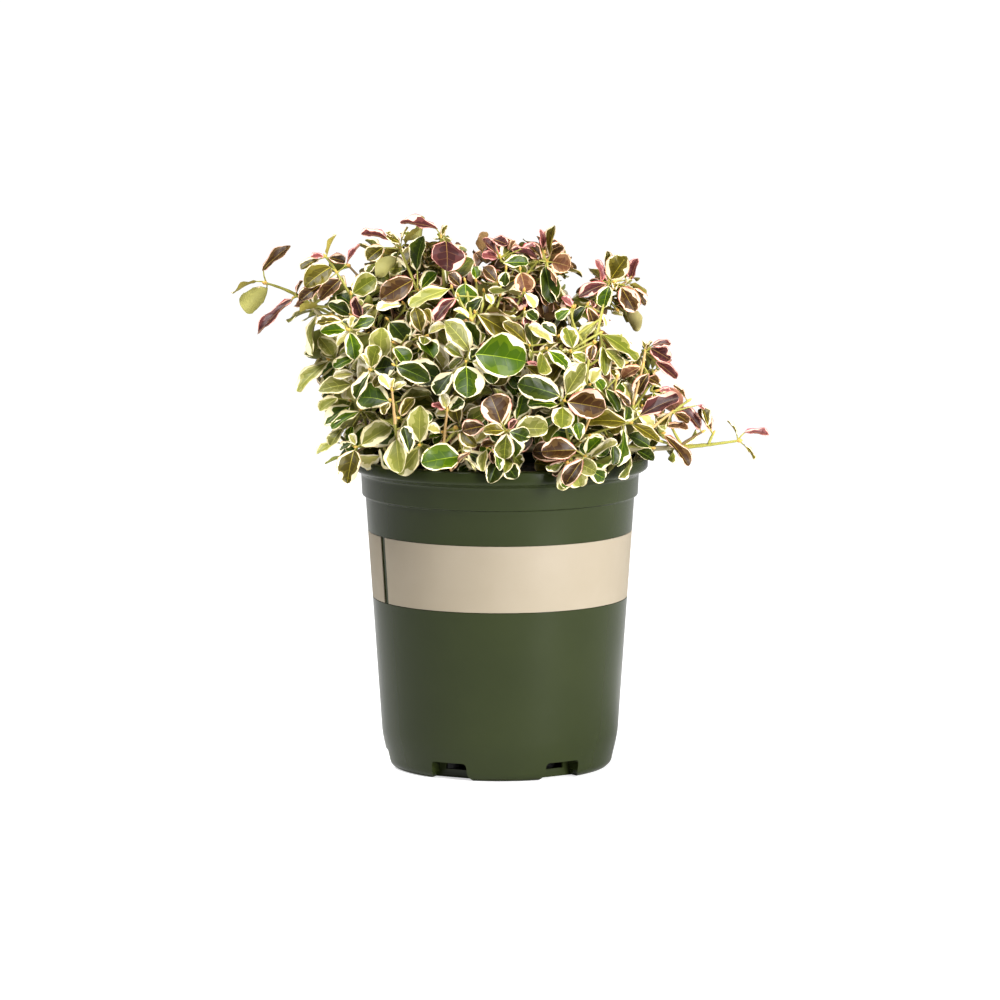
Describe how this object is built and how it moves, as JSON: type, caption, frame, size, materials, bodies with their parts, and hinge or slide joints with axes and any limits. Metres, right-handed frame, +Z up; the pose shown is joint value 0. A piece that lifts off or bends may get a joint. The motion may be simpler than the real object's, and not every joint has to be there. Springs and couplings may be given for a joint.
{
  "type": "potted ivory jade wintercreeper",
  "caption": "Low evergreen shrub with small cream-edged leaves, flushed pink and bronze at its tips, mounded over a tapered round nursery pot.",
  "frame": {"origin": "middle of the pot's flat underside, where it stands on the ground", "axes": "+Z up along the pot's axis, -Y towards the plant's front, +X to the right as seen from the front"},
  "size_m": [0.2922, 0.197, 0.3104],
  "materials": {
    "pot": "satin",
    "band": "satin",
    "mix": "matte",
    "bark": "matte",
    "leaf": "satin"
  },
  "bodies": {
    "root": {"band": "band", "bough_back": "bark", "bough_back_left": "bark", "bough_back_right": "bark", "bough_brow_centre": "bark", "bough_brow_left": "bark", "bough_brow_right": "bark", "bough_crest_left": "bark", "bough_crest_right": "bark", "bough_front_centre": "bark", "bough_front_left": "bark", "bough_front_right": "bark", "bough_left": "bark", "bough_left_shoot": "bark", "bough_right": "bark", "bough_right_shoot": "bark", "bough_top": "bark", "bough_top_left": "bark", "bough_top_right": "bark", "bough_upper_right": "bark", "foliage_back": "leaf", "foliage_back_left": "leaf", "foliage_back_right": "leaf", "foliage_brow_centre": "leaf", "foliage_brow_left": "leaf", "foliage_brow_right": "leaf", "foliage_crest_left": "leaf", "foliage_crest_right": "leaf", "foliage_front_centre": "leaf", "foliage_front_left": "leaf", "foliage_front_right": "leaf", "foliage_left": "leaf", "foliage_left_shoot": "leaf", "foliage_right": "leaf", "foliage_right_shoot": "leaf", "foliage_top": "leaf", "foliage_top_left": "leaf", "foliage_top_right": "leaf", "foliage_upper_right": "leaf", "pot": "pot", "potting_mix": "mix", "stem": "bark"}
  },
  "joints": []
}
